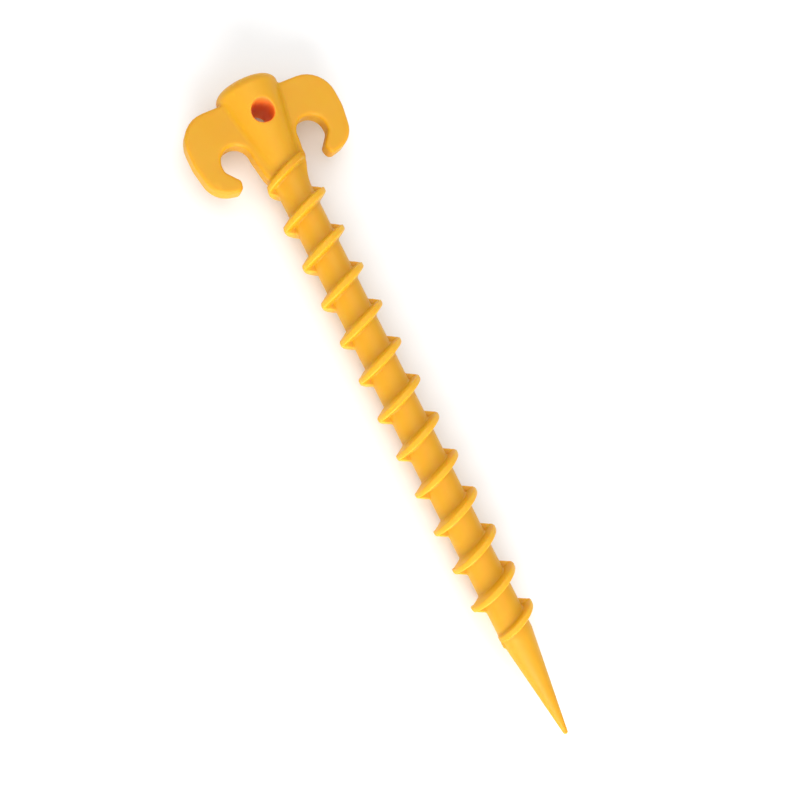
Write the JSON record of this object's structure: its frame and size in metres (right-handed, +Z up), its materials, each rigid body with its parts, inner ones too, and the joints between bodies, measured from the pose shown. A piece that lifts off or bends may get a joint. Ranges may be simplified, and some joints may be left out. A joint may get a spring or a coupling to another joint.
{
  "type": "tent stake",
  "caption": "Screw-in plastic ground stake: threaded shank, domed head with an eye through it, and a guy-line hook on either side.",
  "frame": {"origin": "centre of the bounding box's base, with the stake lying flat and both hooks level", "axes": "+X along the shank from the point to the head, +Y towards the left hook as seen from above with the head up, +Z up, square to the hooks and along the eye"},
  "size_m": [0.25, 0.0574, 0.0228],
  "materials": {
    "golden_plastic": "semi-gloss moulded plastic, slightly translucent"
  },
  "bodies": {
    "root": {"screw_stake": "golden_plastic"}
  },
  "joints": []
}
